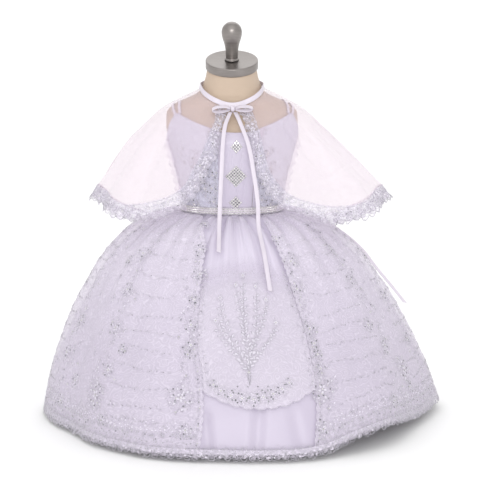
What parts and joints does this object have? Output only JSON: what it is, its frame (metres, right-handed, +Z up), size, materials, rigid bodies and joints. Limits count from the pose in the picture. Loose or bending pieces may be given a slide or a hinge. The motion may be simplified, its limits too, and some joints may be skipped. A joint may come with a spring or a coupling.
{
  "type": "christening gown with capelet on dress form",
  "caption": "Gathered satin christening gown with a sheer embroidered overlayer, lace hem and a sheer lace-edged capelet, on a limbless dress form with a stand.",
  "frame": {"origin": "centre of the underside of the dress form's stand, on the floor", "axes": "+Z up, the gown faces -Y, the wearer's left is +X"},
  "size_m": [0.6396, 0.6492, 0.6285],
  "materials": {
    "satin": "pale lilac-white bridal satin",
    "organza": "sheer embroidered organza",
    "lace": "corded lace edging",
    "ribbon": "narrow satin ribbon",
    "stone_trim": "ribbon set with glass stones",
    "linen": "natural linen cover of the form",
    "metal": "brushed"
  },
  "bodies": {
    "root": {"form_torso": "linen", "form_neck_cap": "metal", "form_finial": "metal", "form_pole": "metal", "form_stand": "metal", "bodice_front": "satin", "bodice_side_left": "satin", "bodice_side_right": "satin", "bodice_back_left": "satin", "bodice_back_right": "satin", "bodice_lace_left": "lace", "bodice_lace_right": "lace", "strap_outer_left": "satin", "strap_outer_right": "satin", "strap_inner_left": "satin", "strap_inner_right": "satin", "waist_band": "stone_trim", "tie_left": "ribbon", "tie_right": "ribbon", "back_bow_knot": "ribbon", "back_bow_loop_left": "ribbon", "back_bow_loop_right": "ribbon", "back_tail_left": "ribbon", "back_tail_right": "ribbon", "skirt_front": "satin", "skirt_side_left": "satin", "skirt_side_right": "satin", "skirt_back_left": "satin", "skirt_back_right": "satin", "skirt_apron": "organza", "sheer_front_left": "organza", "sheer_front_right": "organza", "sheer_back_left": "organza", "sheer_back_right": "organza", "hem_lace_front": "lace", "hem_lace_side_left": "lace", "hem_lace_side_right": "lace", "hem_lace_back_left": "lace", "hem_lace_back_right": "lace", "cape_left": "organza", "cape_right": "organza", "cape_lace_left": "lace", "cape_lace_right": "lace", "neck_ribbon": "ribbon", "neck_bow_knot": "ribbon", "neck_bow_loop_left": "ribbon", "neck_bow_loop_right": "ribbon", "neck_tail_left": "ribbon", "neck_tail_right": "ribbon"}
  },
  "joints": []
}
